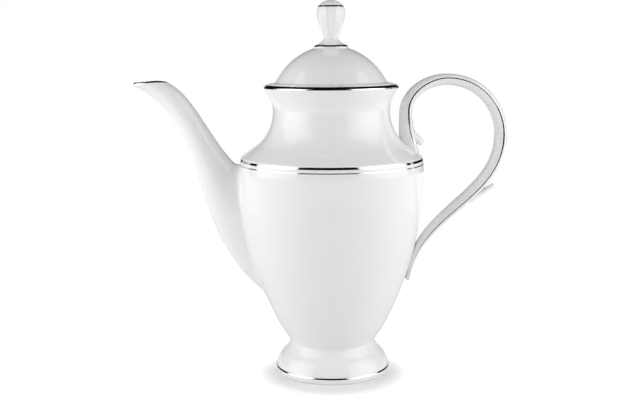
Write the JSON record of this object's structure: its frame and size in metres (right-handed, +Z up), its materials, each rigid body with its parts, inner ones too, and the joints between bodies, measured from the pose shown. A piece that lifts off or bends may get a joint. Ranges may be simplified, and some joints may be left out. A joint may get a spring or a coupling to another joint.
{
  "type": "coffee pot",
  "caption": "Glazed porcelain coffee pot on a pedestal foot, with a swan-neck spout, scroll handle, lift-off domed lid and platinum bands.",
  "frame": {"origin": "on the pot's own axis, at table level under the foot ring", "axes": "+Z up along the pot's axis, -X towards the spout, +X towards the handle, Y across"},
  "size_m": [0.266, 0.132, 0.2674],
  "materials": {
    "porcelain": "clear gloss glaze over white bone china",
    "platinum": "fired-on bright platinum"
  },
  "bodies": {
    "pot": {"urn": "porcelain", "neck": "porcelain", "pedestal_foot": "porcelain", "spout": "porcelain", "handle": "porcelain", "rim_band": "platinum", "shoulder_band": "platinum", "shoulder_line": "platinum", "foot_band": "platinum", "spout_lip_band": "platinum", "handle_line_front": "platinum", "handle_line_back": "platinum"},
    "lid": {"lid_dome": "porcelain", "lid_knob": "porcelain", "lid_edge_band": "platinum", "knob_base_band": "platinum", "knob_crown_band": "platinum"}
  },
  "joints": [
    {"name": "lid_lift", "type": "slide", "parent": "pot", "child": "lid", "axis": [0, 0, 1], "range_m": [0, 0.06]}
  ]
}
